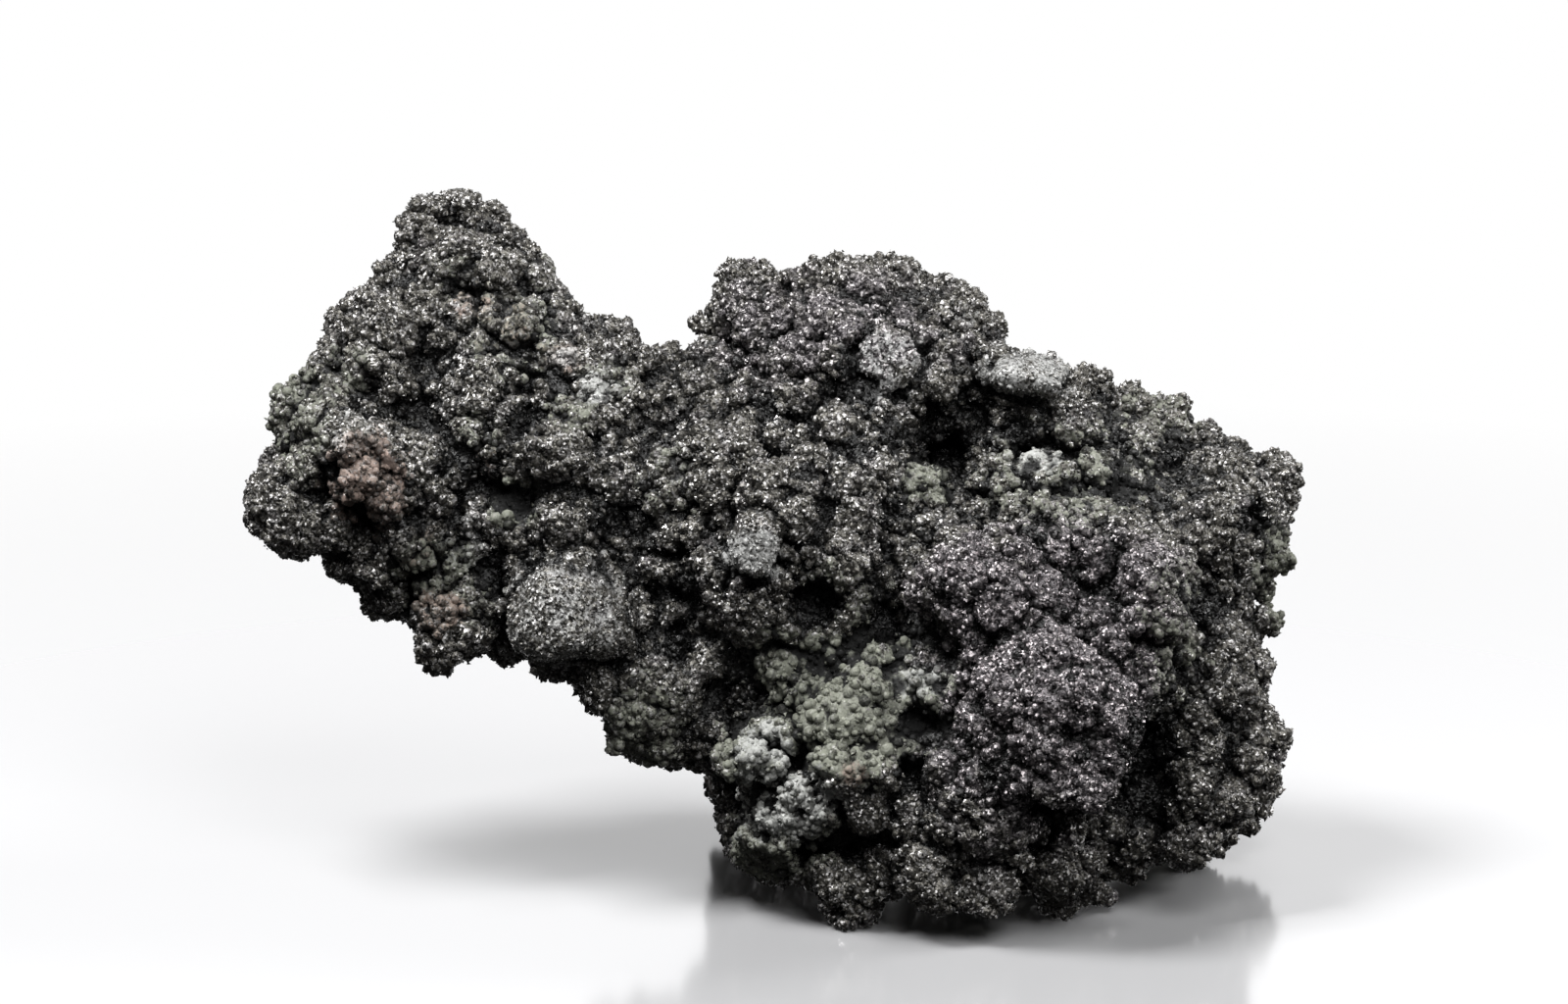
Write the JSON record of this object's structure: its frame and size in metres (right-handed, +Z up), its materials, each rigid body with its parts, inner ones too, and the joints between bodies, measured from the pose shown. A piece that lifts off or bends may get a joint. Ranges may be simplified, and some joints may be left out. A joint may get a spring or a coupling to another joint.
{
  "type": "rheniite crust specimen",
  "caption": "Knobbly dark metallic mineral crust in one piece, long and lumpy, with a raised left horn, deep hollows and short blunt feet that it rests on.",
  "frame": {"origin": "middle of the footprint of the whole piece, on the floor", "axes": "+X along the longest extent, from the raised thin end to the thick end; +Z up; the best side faces -Y"},
  "size_m": [0.1088, 0.062, 0.0713],
  "materials": {
    "rheniite_crust": "near-black, sparkling with tiny metallic crystals, with matt grey-green, reddish brown and pale grey patches"
  },
  "bodies": {
    "root": {"rheniite_crust": "rheniite_crust"}
  },
  "joints": []
}
